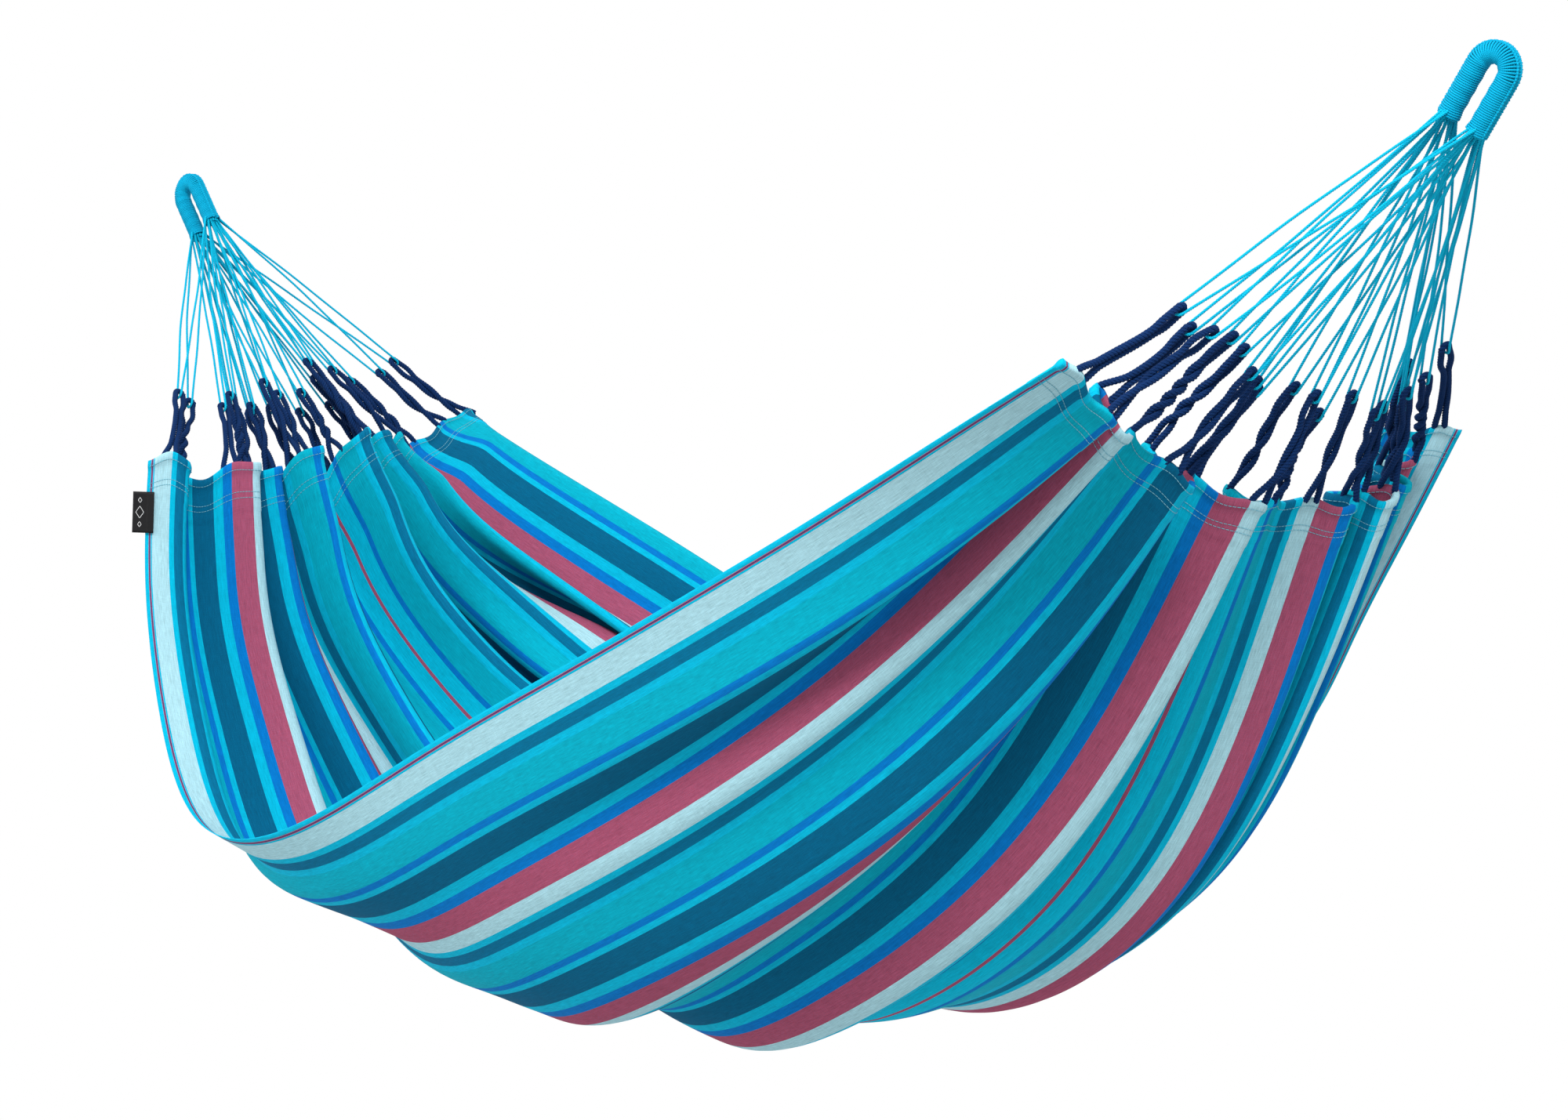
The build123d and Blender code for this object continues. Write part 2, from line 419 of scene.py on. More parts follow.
def bump(tree, height, strength, distance, shader):
    node = tree.nodes.new("ShaderNodeBump")
    node.inputs["Strength"].default_value = strength
    node.inputs["Distance"].default_value = distance
    tree.links.new(height, node.inputs["Height"])
    tree.links.new(node.outputs[0], shader.inputs["Normal"])


def texture_place(tree):
    """The texture coordinates across and along a piece."""
    place = tree.nodes.new("ShaderNodeUVMap")
    place.uv_map = "UVMap"
    parts = tree.nodes.new("ShaderNodeSeparateXYZ")
    tree.links.new(place.outputs[0], parts.inputs[0])
    return parts.outputs[0], parts.outputs[1]


def cloth_material():
    """Striped plain weave: coloured warp, a turquoise weft that shows between the threads, uneven yarn."""
    material, tree, shader = new_material("striped_cloth")
    across, along = texture_place(tree)
    middle = maths(tree, "ABSOLUTE", maths(tree, "SUBTRACT", across, 0.5))
    units = maths(tree, "MULTIPLY", maths(tree, "SUBTRACT", 0.5, middle), 2 * HALF_UNITS)
    edge = banded(tree, maths(tree, "DIVIDE", units, EDGE_WIDTH), EDGE_BANDS)
    beyond_edge = maths(tree, "SUBTRACT", units, EDGE_WIDTH)
    repeat = banded(tree, maths(tree, "FRACT", maths(tree, "DIVIDE", beyond_edge, REPEAT_WIDTH)), REPEAT_BANDS)
    beyond_start = maths(tree, "SUBTRACT", units, CENTRE_START)
    centre = banded(tree, maths(tree, "DIVIDE", beyond_start, HALF_UNITS - CENTRE_START), CENTRE_BANDS)
    stripes = mixed(tree, maths(tree, "GREATER_THAN", units, EDGE_WIDTH), edge, repeat)
    stripes = mixed(tree, maths(tree, "GREATER_THAN", units, CENTRE_START), stripes, centre)
    x_mm = maths(tree, "MULTIPLY", across, CLOTH_WIDTH * 1000)
    y_mm = maths(tree, "MULTIPLY", along, CLOTH_LENGTH * 1000)
    # uneven warp threads, thick places in the weft, and long faint streaks
    yarn = stretched_noise(tree, x_mm, y_mm, 1.1, 0.06, 2.0)
    slub = stretched_noise(tree, x_mm, y_mm, 0.05, 0.9, 2.0)
    streak = stretched_noise(tree, x_mm, y_mm, 0.5, 0.012, 3.0)
    warp = maths(tree, "SINE", maths(tree, "MULTIPLY", x_mm, 2 * math.pi / WARP_PITCH_MM))
    weft = maths(tree, "SINE", maths(tree, "MULTIPLY", y_mm, 2 * math.pi / WEFT_PITCH_MM))
    weave = maths(tree, "MULTIPLY", warp, weft)
    show = maths(tree, "MULTIPLY", maths(tree, "GREATER_THAN", weave, 0.45), 0.32)
    woven = mixed(tree, show, stripes, colour(0, 150, 205))
    light = maths(tree, "MULTIPLY_ADD", yarn, 0.9, 0.55)
    for unevenness, amount, least in ((slub, 0.30, 0.85), (streak, 0.4, 0.8)):
        light = maths(tree, "MULTIPLY", light, maths(tree, "MULTIPLY_ADD", unevenness, amount, least))
    shade = combined(tree, light, light, light)
    tree.links.new(mixed(tree, 1.0, woven, shade, "MULTIPLY"), shader.inputs["Base Color"])
    shader.inputs["Roughness"].default_value = 0.86
    shader.inputs["Specular IOR Level"].default_value = 0.06
    height = maths(tree, "ADD", maths(tree, "MULTIPLY", weave, 0.35), maths(tree, "MULTIPLY", yarn, 0.8))
    height = maths(tree, "ADD", height, maths(tree, "MULTIPLY", slub, 0.6))
    bump(tree, height, 0.5, 0.0006, shader)
    return material


def yarn_material(name, dark, light, lines, lay):
    """Spun cord: fine yarns run round each strand at a slant, painted lighter on their tops as painted
    highlight and darker in the grooves between them as painted shade, with paler fibres on top.
    """
    material, tree, shader = new_material(name)
    around, along = texture_place(tree)
    slant = maths(tree, "ADD", maths(tree, "MULTIPLY", around, lines), maths(tree, "MULTIPLY", along, lay))
    wave = maths(tree, "SINE", maths(tree, "MULTIPLY", slant, 2 * math.pi))
    ridge_height_and_shade = maths(tree, "MULTIPLY_ADD", wave, 0.5, 0.5)
    place = tree.nodes.new("ShaderNodeTexCoord").outputs["Object"]
    fibres = noise(tree, place, 900.0, 3.0)
    patches = noise(tree, place, 60.0, 2.0)
    # The ridge wave also sets the colour: darker in the grooves as painted shade, lighter on the yarn tops as
    # painted highlight; the fibres and patches add paler tone at random.
    amount = maths(tree, "ADD", maths(tree, "MULTIPLY", ridge_height_and_shade, 0.35), maths(tree, "MULTIPLY", fibres, 0.5))
    amount = maths(tree, "ADD", amount, maths(tree, "MULTIPLY", patches, 0.15))
    tree.links.new(mixed(tree, amount, dark, light), shader.inputs["Base Color"])
    shader.inputs["Roughness"].default_value = 0.8
    shader.inputs["Specular IOR Level"].default_value = 0.08
    bump(tree, maths(tree, "ADD", ridge_height_and_shade, fibres), 0.6, 0.0004, shader)
    return material


def plain_material(name, tone, grain_scale, grain_depth):
    """One tone with a fine grain."""
    material, tree, shader = new_material(name)
    grain = noise(tree, tree.nodes.new("ShaderNodeTexCoord").outputs["Object"], grain_scale, 3.0)
    darker = tuple(value * 0.8 for value in tone[:3]) + (1.0,)
    tree.links.new(mixed(tree, grain, darker, tone), shader.inputs["Base Color"])
    shader.inputs["Roughness"].default_value = 0.6
    shader.inputs["Specular IOR Level"].default_value = 0.15
    bump(tree, grain, 0.4, grain_depth, shader)
    return material


# ---------------------------------------------------------------- cloth
def section_curve(section, places):
    """The hanging curve of one cross-section at places from -1, the near edge, to 1, the far edge."""
    near, low, far = section
    middle = (near + far) / 2
    swell = 1 - np.abs(places) ** FULLNESS
    return middle + (far - near) / 2 * places[:, None] + (low - middle) * swell[:, None]


def lean_across(folds, reach):
    """The lean at each point across the cloth, level at each listed place and smooth between them."""
    places = np.array([place for place, _ in folds]) * UNIT
    leans = np.array([lean for _, lean in folds])
    k = np.clip(np.searchsorted(places, reach, side="right") - 1, 0, len(places) - 2)
    share = smooth((reach - places[k]) / (places[k + 1] - places[k]))
    return leans[k] + (leans[k + 1] - leans[k]) * share


def widely_averaged(values, spacing, spread):
    """The values averaged over a wide window; the two ends keep theirs."""
    count = int(3 * spread / spacing)
    window = np.exp(-0.5 * (np.arange(-count, count + 1) * spacing / spread) ** 2)
    before = 2 * values[0] - values[count:0:-1]
    after = 2 * values[-1] - values[-2:-count - 2:-1]
    return np.convolve(np.concatenate([before, values, after]), window / window.sum(), "valid")


def row_places():
    """Distances from the left hem's edge to each row of points, closer together in the two hems."""
    hem_mm = [0, 2, 4, 6, 8, 10, 13, 17, 22, 28, 33, 36, 39, 43, 48, 53, 57, 60, 63, 67, 73, 81]
    hem = [place / 1000 for place in hem_mm]
    inner = np.linspace(HEM_ZONE, CLOTH_LENGTH - HEM_ZONE, INNER_ROWS)
    return np.array(hem + inner.tolist() + [CLOTH_LENGTH - place for place in reversed(hem)])


def hanging_surface(rows, columns):
    """Points of the smooth surface that the cloth hangs along, row by row, and how wide each row is."""
    stations = np.linspace(0, 1, len(SECTIONS))
    fine_stations = np.linspace(0, 1, 241)
    fine = spline(stations, SECTIONS, fine_stations)
    rails = [running_length(fine[:, rail]) for rail in range(3)]
    reach = np.mean([rail / rail[-1] for rail in rails], axis=0)
    sections = spline(stations, SECTIONS, np.interp(rows / CLOTH_LENGTH, reach, fine_stations))
    places = np.linspace(-1, 1, 201)
    surface, widths = [], []
    for section in sections:
        curve = section_curve(section, places)
        length = running_length(curve)
        widths.append(length[-1])
        surface.append(between_points(np.linspace(0, length[-1], columns), length, curve))
    return np.array(surface), np.array(widths)


def followed(angle, step):
    """Where a cloth that leans by these angles gets to, along the hanging surface and above it."""
    between = (angle[1:] + angle[:-1]) / 2
    along = np.concatenate([[0], np.cumsum(np.cos(between))]) * step
    above = np.concatenate([[0], np.cumsum(np.sin(between))]) * step
    return along, above


def cloth_grid():
    """Points of the cloth in rows from the left hem to the right, each from the near edge to the far one.

    Each row leans by a share of the three lists of folds. The lean is scaled until the row is as wide as the
    surface it hangs along, and the turned far edge is left over.
    """
    rows = row_places()
    numbers = np.arange(COLUMNS)
    reach = np.linspace(0, CLOTH_WIDTH, COLUMNS)
    step = reach[1]
    surface, widths = hanging_surface(rows, COLUMNS)
    lengthwise = unit(np.gradient(surface, rows, axis=0))
    crosswise = unit(np.gradient(surface, axis=1))
    inward = unit(np.cross(lengthwise, crosswise))
    place_across = reach / CLOTH_WIDTH
    left_lean, middle_lean, right_lean = (
        lean_across(folds, reach) for folds in (LEFT_LEAN, MIDDLE_LEAN, RIGHT_LEAN))
    grid = []
    for j, row in enumerate(rows):
        left_share = np.exp(-(row / (0.45 + 0.35 * place_across)) ** 1.6)
        right_share = np.exp(-((CLOTH_LENGTH - row) / (0.62 + 0.15 * place_across)) ** 1.6)
        middle_share = np.clip(1 - left_share - right_share, 0, 1)
        lean = left_share * left_lean + middle_share * middle_lean + right_share * right_lean
        # The far edge is turned over from the left hem to past the middle
        rolled = (0.6 + 0.4 * smooth(row / 0.12)) * smooth((1.45 - row) / 0.5)
        ridge = CLOTH_WIDTH - EDGE_ROLL * rolled
        low, high = 0.0, 3.0
        for _ in range(30):
            scale = (low + high) / 2
            x, _ = followed(scale * lean, step)
            low, high = (scale, high) if np.interp(ridge, reach, x) > widths[j] else (low, scale)
        _, height = followed(scale * lean, step)
        # The folds swing about the surface, but near the right hem and in the middle they stand on it
        average = widely_averaged(height, step, 0.11)
        swing = widely_averaged(np.abs(height - average), step, 0.08)
        turn = 2.7 * rolled * smooth((reach - ridge) / 0.030)
        x, height = followed(scale * lean - turn, step)
        inner_part = 1 - smooth((place_across - 0.7) / 0.2)
        height = height - average + swing * (right_share * 1.4 + middle_share * inner_part)
        place = x / widths[j] * (COLUMNS - 1)
        inside = np.clip(place, 0, COLUMNS - 1)
        base = between_points(inside, numbers, surface[j])
        side = unit(between_points(inside, numbers, inward[j]))
        beyond = (place - inside)[:, None] * (widths[j] / (COLUMNS - 1)) * crosswise[j, -1]
        # Near a hem the folds also move along the cloth, so that its edge goes in and out
        lift = 0.8 * math.exp(-(row / 0.22) ** 1.5) + 0.15 * math.exp(-((CLOTH_LENGTH - row) / 0.16) ** 1.5)
        lifted = widely_averaged(height, step, 0.018) * lift
        grid.append(base + side * height[:, None] + beyond - lengthwise[j] * lifted[:, None])
    return rows, reach, np.array(grid)


def hem_details(rows, reach, grid):
    """Between two loops the hem's edge sags away from the eye."""
    lengthwise = unit(np.gradient(grid, rows, axis=0))
    between = 0.5 + 0.5 * np.cos(2 * math.pi * LOOPS * reach / CLOTH_WIDTH)
    fade, depth = 0.16, 0.009
    left = (np.clip(1 - rows / fade, 0, 1) ** 2)[:, None] * between[None, :]
    right = (np.clip(1 - (CLOTH_LENGTH - rows) / fade, 0, 1) ** 2)[:, None] * between[None, :]
    return grid + lengthwise * ((left - right) * depth)[:, :, None]


def surface_sides(rows, grid):
    """The direction square to the cloth at each of its points, on its upper face."""
    lengthwise = np.gradient(grid, rows, axis=0)
    crosswise = np.gradient(grid, axis=1)
    return unit(np.cross(lengthwise, crosswise))


def thickness_at(rows):
    """Cloth thickness: a rope channel at each hem's edge, then the folded hem, then one layer."""
    from_hem = np.minimum(rows, CLOTH_LENGTH - rows)
    channel = 0.0086 * np.sqrt(np.clip(1 - ((from_hem - 0.006) / 0.0085) ** 2, 0, 1))
    folded = np.where(from_hem < HEM_WIDTH, 0.0026, CLOTH_THICKNESS)
    return np.maximum(channel, folded)


def cloth_object(rows, reach, grid, material):
    """Two faces of cloth and a narrow face along every edge."""
    side = surface_sides(rows, grid)
    half = (thickness_at(rows) / 2)[:, None, None]
    upper, lower = grid + side * half, grid - side * half
    count_rows, count_columns = grid.shape[:2]
    points = np.concatenate([upper.reshape(-1, 3), lower.reshape(-1, 3)])
    faces = shell_faces(np.arange(count_rows * count_columns).reshape(count_rows, count_columns))
    across = np.tile(reach / CLOTH_WIDTH, count_rows)
    along = np.repeat(rows / CLOTH_LENGTH, count_columns)
    place = np.stack([np.concatenate([across, across]), np.concatenate([along, along])], 1)
    mesh = Mesh()
    mesh.add(points, faces, place[faces])
    return mesh.build("cloth_bed_woven", material)


def row_point(rows, grid, side, place_row, column):
    """A point of the cloth and its side, on one row, at a column that needn't be whole."""
    j = int(np.argmin(np.abs(rows - place_row)))
    k = int(np.clip(math.floor(column), 0, grid.shape[1] - 2))
    share = column - k
    place, out = (values[j, k] * (1 - share) + values[j, k + 1] * share for values in (grid, side))
    return place, unit(out)


def stitches(rows, grid, hem_side, material):
    """Rows of lockstitches on both faces of a hem."""
    side = surface_sides(rows, grid)
    mesh = Mesh()
    columns = grid.shape[1] - 1
    lifts = (0.0001, 0.0005, 0.0001)
    for distance in STITCH_ROWS:
        row = distance if hem_side == "left" else CLOTH_LENGTH - distance
        half = float(np.interp(row, rows, thickness_at(rows))) / 2
        for number in range(1, int(CLOTH_WIDTH / STITCH_PITCH)):
            start = number * STITCH_PITCH / CLOTH_WIDTH * columns
            finish = start + STITCH_LENGTH / CLOTH_WIDTH * columns
            if finish > columns:
                continue
            along = (start, (start + finish) / 2, finish)
            ends = [row_point(rows, grid, side, row, column) for column in along]
            for sign in (1, -1):
                path = [point + out * sign * (half + lift) for (point, out), lift in zip(ends, lifts)]
                mesh.tube(path, STITCH_RADIUS, 5)
    return mesh.build(f"{hem_side}_hem_stitching", material)


# ---------------------------------------------------------------- eyes, loops and cords
def end_facts(hem_side):
    """Hook seat, pull direction, the direction from one leg of the eye to the other, and the leg ends."""
    direction = 1 if hem_side == "left" else -1
    seat = np.array([0.0 if hem_side == "left" else HOOK_SPAN, 0.0, 0.0])
    pull = np.array([direction * math.cos(PULL_ANGLE), 0.0, -math.sin(PULL_ANGLE)])
    across = np.cross(Y_AXIS, pull)
    end = EYE_BEND - SLEEVE_RADIUS + EYE_LEG
    legs = [seat + pull * end + across * sign * EYE_BEND for sign in (-1, 1)]
    return seat, pull, across, legs


def eye_path(seat, pull, across, offset=0.0):
    """The U of an eye, moved outwards by the offset."""
    bend = EYE_BEND - SLEEVE_RADIUS  # from the hook's seat to the middle of the bend
    radius = EYE_BEND + offset
    leg = np.linspace(bend + EYE_LEG, bend, 40)[:-1]
    turn = np.linspace(0, math.pi, 60)
    points = [seat + pull * x - across * radius for x in leg]
    points += [seat + pull * (bend - radius * math.sin(t)) - across * radius * math.cos(t) for t in turn]
    points += [seat + pull * x + across * radius for x in leg[::-1]]
    return np.array(points)


def eye_sleeve(hem_side, material):
    """Close turns of cord round the bundle, and the plaited seam along the outside of the U."""
    seat, pull, across, _ = end_facts(hem_side)
    path = resampled(eye_path(seat, pull, across), 0.0006)
    reach = running_length(path)
    side, up = sides_along(path)
    from_end = np.minimum(reach, reach[-1] - reach)
    flare = 0.0012 * np.exp(-(from_end / 0.006) ** 2)  # the whipping at either end stands out a little
    mesh = Mesh()
    steps = 26  # points in one turn of the coil
    fine = np.linspace(0, reach[-1], int(reach[-1] / COIL_PITCH * steps))
    centre = between_points(fine, reach, path)
    first, second = (unit(between_points(fine, reach, directions)) for directions in (side, up))
    turn = 2 * math.pi * fine / COIL_PITCH
    width = SLEEVE_RADIUS - COIL_RADIUS + np.interp(fine, reach, flare) + 0.00025 * np.sin(fine * 410)
    mesh.tube(centre + ring_directions(turn, first, second) * width[:, None], COIL_RADIUS, 6)
    seam = resampled(eye_path(seat, pull, across, SLEEVE_RADIUS - 0.0006), 0.001)
    outward = unit(np.cross(unit(np.gradient(seam, axis=0)), Y_AXIS))
    along = running_length(seam)
    for strand in range(3):
        wave = 2 * math.pi * (along / PLAIT_PITCH + strand / 3)
        lift = 0.0012 * np.cos(2 * wave) + 0.0009
        mesh.tube(seam + Y_AXIS * (0.0042 * np.sin(wave))[:, None] + outward * lift[:, None], PLAIT_RADIUS, 6)
    return mesh.build(f"{hem_side}_eye_braided_sleeve", material)


def eye_bundle(hem_side, material):
    """The core: packed cords that run through the whole U and show where each leg opens."""
    seat, pull, across, legs = end_facts(hem_side)
    centre = eye_path(seat, pull, across)
    centre = resampled(np.concatenate([[legs[0] + pull * 0.0025], centre, [legs[1] + pull * 0.0025]]), 0.003)
    side, up = sides_along(centre)
    reach = running_length(centre)
    mesh = Mesh()
    for ring, count in ((0.0, 1), (0.0037, 6), (0.0074, 12)):
        for number in range(count):
            turn = 2 * math.pi * number / count + ring * 300 + reach * 9
            mesh.tube(centre + ring_directions(turn, side, up) * ring, 0.0019, 6)
    return mesh.build(f"{hem_side}_eye_bundle", material)


def loop_exits(rows, grid, hem_side):
    """Where the two legs of each rope loop leave the hem's edge, and the way into the hem there."""
    side = surface_sides(rows, grid)
    columns = grid.shape[1] - 1
    depths = (0.004, 0.013)
    edge_row, inner_row = depths if hem_side == "left" else (CLOTH_LENGTH - depth for depth in depths)
    exits = []
    for number in range(LOOPS):
        centre = (number + 0.5) / LOOPS
        gap = (0.0085 + 0.0025 * math.sin(3.1 * number + 1)) / CLOTH_WIDTH
        pair = []
        for sign in (-1, 1):
            place = row_point(rows, grid, side, edge_row, (centre + sign * gap) * columns)[0]
            inside = row_point(rows, grid, side, inner_row, (centre + sign * gap) * columns)[0]
            pair.append((place, unit(inside - place)))
        exits.append(pair)
    return exits


def loop_path(feet, tip, towards_eye, opening, number):
    """One rope: up one leg, round the tip and down the other, the legs twisted about each other."""
    (first, first_in), (second, second_in) = feet
    half_turns = (1, 2, 1, 3, 2, 1, 2)[number % 7]
    mouth = 0.0105 + 0.0045 * math.sin(1.7 * number)  # the open eye at the tip, wider on some loops
    q = np.linspace(0, 1, 90)
    foot = (first + second) / 2
    neck = tip - towards_eye * LINK_RADIUS
    start = unit(second - first)
    start = unit(start - towards_eye * np.dot(start, towards_eye))
    third = np.cross(towards_eye, start)
    turning = math.atan2(np.dot(third, opening), np.dot(start, opening))
    angle = (turning + math.pi * half_turns) * smooth((q - 0.08) / 0.66)
    half_foot = np.linalg.norm(second - first) / 2
    closed = ROPE_RADIUS * 0.94
    half = closed + (half_foot - closed) * (1 - smooth(q / (0.22 + 0.10 * math.sin(number * 2.3) ** 2)))
    opened = smooth((q - 0.70) / 0.14)
    half = half + (LINK_RADIUS - closed) * opened
    bulge = np.sin(math.pi * np.clip((q - 0.70) / 0.30, 0, 1)) ** 2
    half = half + max(0.0, mouth / 2 - 0.0045) * bulge
    bow = 0.005 * math.sin(2.1 * number) * np.sin(math.pi * q) + 0.002 * np.sin(2 * math.pi * q + number)
    side_bow = 0.004 * math.cos(3.3 * number) * np.sin(math.pi * q)
    spine = foot + (neck - foot) * q[:, None] + third * bow[:, None] + start * side_bow[:, None]
    lean = start[None, :] * np.cos(angle)[:, None] + third[None, :] * np.sin(angle)[:, None]
    leg_a, leg_b = spine - lean * half[:, None], spine + lean * half[:, None]
    leg_a[0], leg_b[0] = first, second
    turn = np.linspace(0.12, math.pi - 0.12, 16)[:, None]
    arc = neck - lean[-1] * LINK_RADIUS * np.cos(turn) + towards_eye * LINK_RADIUS * np.sin(turn)
    root_a, root_b = first + first_in * 0.005, second + second_in * 0.005
    return np.concatenate([[root_a], leg_a, arc, leg_b[::-1], [root_b]]), lean[-1]


def loops_and_cords(hem_side, rows, grid, rope, cord_look):
    """The rope loops of one hem, and the cords that run from the eye through each of them and back."""
    _, pull, across, legs = end_facts(hem_side)
    eye_end = (legs[0] + legs[1]) / 2
    cords = Mesh()
    for number, feet in enumerate(loop_exits(rows, grid, hem_side)):
        foot = (feet[0][0] + feet[1][0]) / 2
        towards_eye = unit(eye_end - foot)
        tip = foot + towards_eye * (LOOP_LENGTH + LOOP_SPREAD * math.sin(2.4 * number))
        spread = unit(across - towards_eye * np.dot(across, towards_eye))
        path, lean = loop_path(feet, tip, towards_eye, np.cross(towards_eye, spread), number)
        mesh = Mesh()
        twisted(mesh, path, ROPE_RADIUS, ROPE_LAY, 8, 0.0012, phase=number)
        loop = mesh.build(f"{hem_side}_twisted_loop_{number + 1:02d}", rope)
        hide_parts(f"{hem_side}_rope_loop_{number + 1:02d}")
        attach(loop, "sling")
        spread = unit(np.cross(lean, towards_eye))
        spread = spread if np.dot(spread, across) > 0 else -spread
        centre = tip - towards_eye * LINK_RADIUS
        row = number % 3 - 1  # the cords leave the eye in three rows
        shift = Y_AXIS * (number - (LOOPS - 1) / 2) * CORD_PITCH / 3 + across * row * CORD_PITCH
        q = np.linspace(0, 1, 70)[:-1]
        sides = []
        for sign, leg in zip((-1, 1), legs):
            start = leg + shift - pull * 0.006
            finish = centre + spread * sign * LINK_RADIUS
            slack = 0.0042 * math.sin(5.3 * number + 2 * sign) * np.sin(math.pi * q) ** 1.5
            slack = slack + 0.0007 * np.sin(13 * q + number) * np.sin(math.pi * q)
            drift = 0.0035 * math.cos(4.1 * number + sign) * np.sin(math.pi * q)
            straight = start + (finish - start) * q[:, None]
            sides.append(straight + np.cross(towards_eye, spread) * slack[:, None] + spread * drift[:, None])
        turn = np.linspace(0, math.pi, 14)[:, None]
        arc = centre - spread * LINK_RADIUS * np.cos(turn) - towards_eye * LINK_RADIUS * np.sin(turn)
        hairpin = np.concatenate([sides[0], arc, sides[1][::-1]])
        twisted(cords, hairpin, CORD_RADIUS, CORD_LAY, 6, 0.0017, phase=number * 1.7)
    bundle = cords.build(f"{hem_side}_suspension_cord_fan", cord_look)
    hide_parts(f"{hem_side}_suspension_cords")
    start, end = eye_end - pull * 0.002, eye_end + pull * BLEND_LENGTH
    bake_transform(bundle)


# ---------------------------------------------------------------- label
def label(material, mark_material):
    """A folded woven tab with a plain diamond, sewn to the near edge."""
    edge_top, edge_next = SECTIONS[0][0], SECTIONS[1][0]
    down = unit(edge_next - edge_top)
    out = np.array([-0.65, -0.76, 0.0])
    out = unit(out - down * np.dot(out, down))
    place = edge_top + down * LABEL_DROP
    normal = np.cross(down, out)
    steps = 18
    reach = np.linspace(-LABEL_MARGIN, LABEL_FLAP, steps)
    length = np.linspace(-LABEL_HALF_LENGTH, LABEL_HALF_LENGTH, steps)

    def curl(x, y):
        return 0.0011 * math.sin(x * 110) * math.cos(y * 40)

    points = []
    for sign in (1, -1):
        for x in reach:
            rounded = max(0.0, (x - 0.0188) / 0.0018)  # the fold at the flap's free end
            half = 0.0008 * math.sqrt(max(0.0, 1 - rounded ** 2)) + (0.0012 if x < 0 else 0)
            for y in length:
                points.append(place + out * x + down * y + normal * (curl(x, y) + sign * half))
    faces = shell_faces(np.arange(steps * steps).reshape(steps, steps))
    mesh = Mesh()
    mesh.add(np.array(points), faces, np.zeros((len(faces), 4, 2)))
    tab = mesh.build("woven_label", material)
    mark = Mesh()
    for sign in (1, -1):
        for middle, size in ((0.0, 1.0), (0.017, 0.45), (-0.017, 0.45)):
            corners = []
            for x, y in ((1, 0), (0, 1), (-1, 0), (0, -1), (1, 0)):
                u, v = 0.0105 + x * 0.0055 * size, middle + y * 0.0085 * size
                corners.append(place + out * u + down * v + normal * (curl(u, v) + sign * 0.0009))
            mark.tube(resampled(np.array(corners), 0.001), 0.00045, 5)
    return tab, mark.build("label_diamond", mark_material), place, out


# ---------------------------------------------------------------- build
cloth_look = cloth_material()
# In each pair of tones, the darker is painted into the grooves between yarns as painted shade, and the lighter
# onto the yarn tops as painted highlight and on the paler fibres and patches.
rope_look = yarn_material("navy_rope", colour(3, 20, 52), colour(16, 58, 116), 5.0, 420.0)
cord_look = yarn_material("turquoise_cord", colour(0, 150, 192), colour(4, 208, 240), 4.0, 700.0)
braid_look = yarn_material("turquoise_braid", colour(0, 118, 164), colour(2, 194, 230), 4.0, 500.0)
thread_look = plain_material("stitch_thread", colour(120, 190, 210), 1500.0, 0.0001)
label_look = plain_material("black_label", colour(20, 20, 22), 1800.0, 0.0002)
mark_look = plain_material("label_mark", colour(215, 215, 215), 1500.0, 0.0001)

rows, reach, grid = cloth_grid()
grid = hem_details(rows, reach, grid)
cloth = cloth_object(rows, reach, grid, cloth_look)
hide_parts("cloth_bed")
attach(cloth, "sling")

for hem_side in ("left", "right"):
    seam = stitches(rows, grid, hem_side, thread_look)
    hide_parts(f"{hem_side}_hem_stitches")
    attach(seam, "sling")
    sleeve = eye_sleeve(hem_side, braid_look)
    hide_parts(f"{hem_side}_eye_sleeve", f"{hem_side}_eye_whippings")
    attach(sleeve, "eyes")
    core = eye_bundle(hem_side, cord_look)
    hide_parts(f"{hem_side}_eye_core")
    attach(core, "eyes")
    loops_and_cords(hem_side, rows, grid, rope_look, cord_look)

tab, mark, label_place, label_out = label(label_look, mark_look)
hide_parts("label_margin", "label_flap")
for piece in (tab, mark):
    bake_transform(piece)


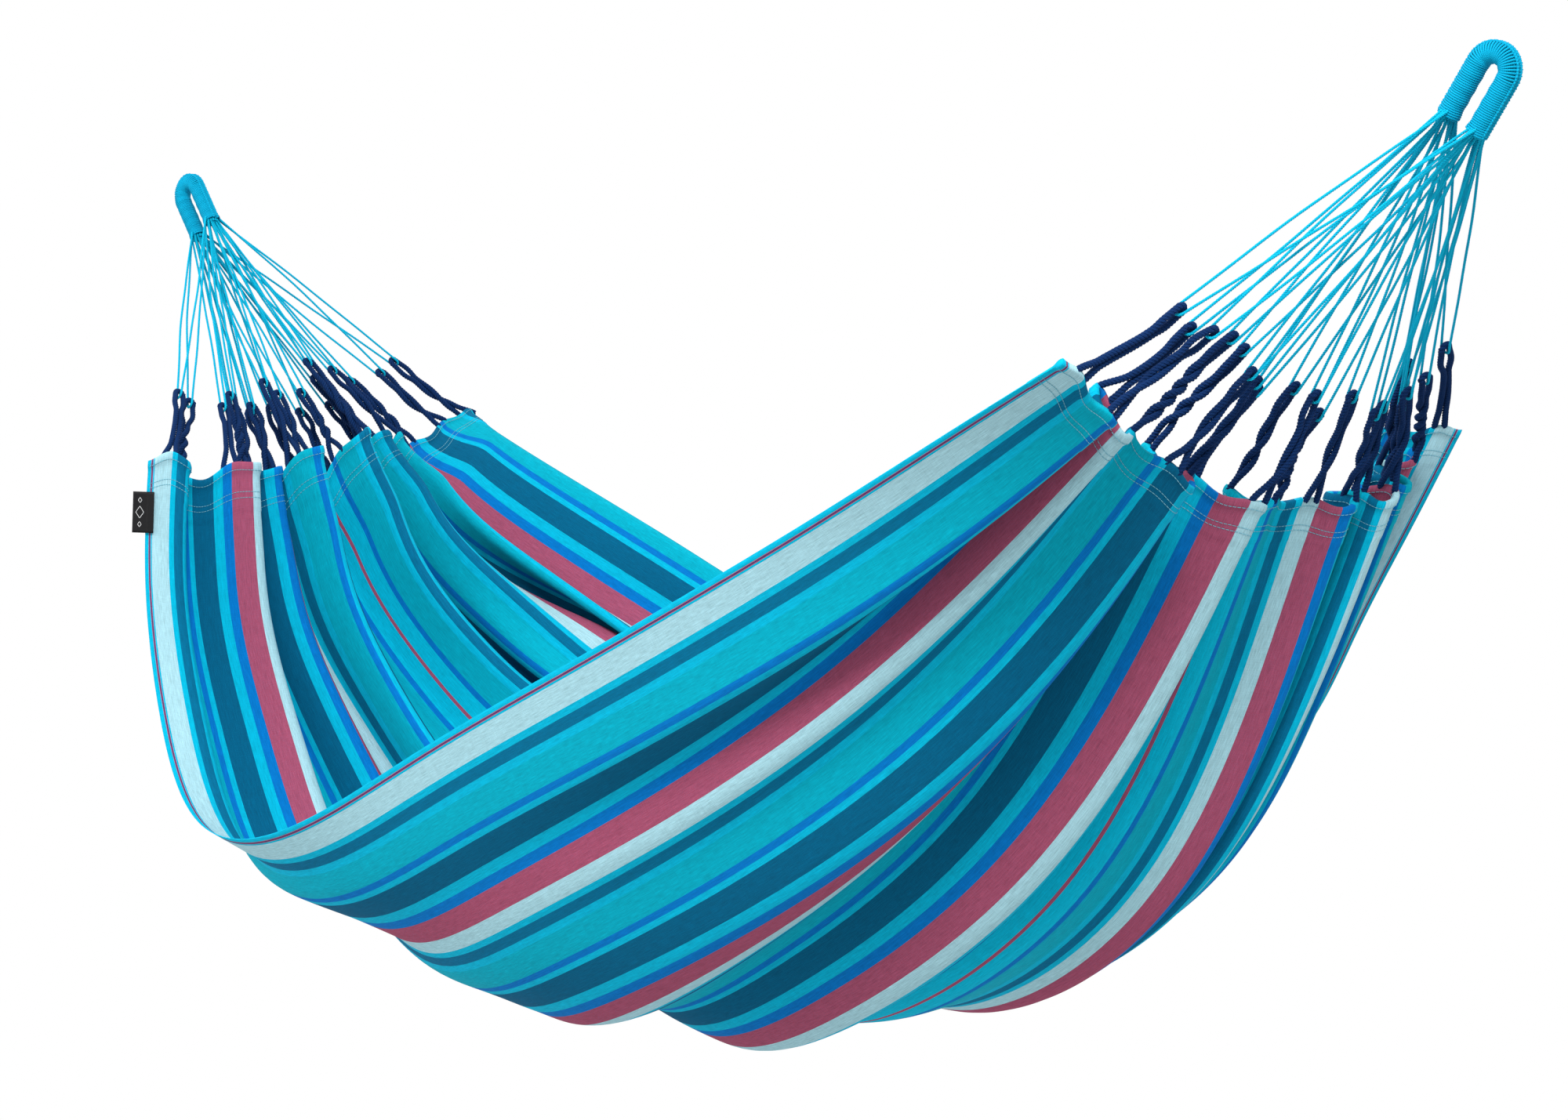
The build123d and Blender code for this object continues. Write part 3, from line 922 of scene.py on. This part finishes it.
# ---------------------------------------------------------------- stage
def floor():
    """A wide white floor as bright as the sky round it, so that no horizon shows."""
    signs = ((-1, -1), (1, -1), (1, 1), (-1, 1))
    corners = [(x * FLOOR_REACH, y * FLOOR_REACH, FLOOR_HEIGHT) for x, y in signs]
    mesh = bpy.data.meshes.new("floor")
    mesh.from_pydata(corners, [], [(0, 1, 2, 3)])
    thing = bpy.data.objects.new("floor", mesh)
    bpy.context.scene.collection.objects.link(thing)
    material, _, shader = new_material("floor_paper")
    shader.inputs["Base Color"].default_value = (0.0, 0.0, 0.0, 1)
    shader.inputs["Emission Color"].default_value = (1.0, 1.0, 1.0, 1)
    shader.inputs["Emission Strength"].default_value = STUDIO_WHITE
    shader.inputs["Roughness"].default_value = 1.0
    shader.inputs["Specular IOR Level"].default_value = 0.0
    mesh.materials.append(material)


def area_light(name, place, target, size, power):
    data = bpy.data.lights.new(name, "AREA")
    data.shape = "DISK"
    data.size = size
    data.energy = power
    thing = bpy.data.objects.new(name, data)
    thing.location = place
    thing.rotation_euler = (Vector(target) - Vector(place)).to_track_quat("-Z", "Y").to_euler()
    bpy.context.scene.collection.objects.link(thing)


def studio():
    world = bpy.data.worlds.new("studio")
    world.use_nodes = True
    background = world.node_tree.nodes["Background"]
    background.inputs["Color"].default_value = (1.0, 1.0, 1.0, 1)
    background.inputs["Strength"].default_value = STUDIO_WHITE
    bpy.context.scene.world = world
    middle = (1.125, 0.0, -0.7)
    area_light("key", (3.6, -2.6, 2.6), middle, 1.5, 270)
    area_light("fill", (-1.6, -3.2, 0.8), middle, 2.6, 110)
    area_light("back", (0.2, 3.0, 2.8), middle, 2.5, 50)


def camera():
    data = bpy.data.cameras.new("camera")
    data.lens = 72
    data.sensor_width = 36
    data.clip_end = 60
    thing = bpy.data.objects.new("camera", data)
    thing.location = CAMERA_PLACE
    thing.rotation_euler = Vector(CAMERA_VIEW).to_track_quat("-Z", "Y").to_euler()
    bpy.context.scene.collection.objects.link(thing)
    bpy.context.scene.camera = thing


floor()
studio()
camera()
bpy.context.scene.view_settings.view_transform = "Standard"
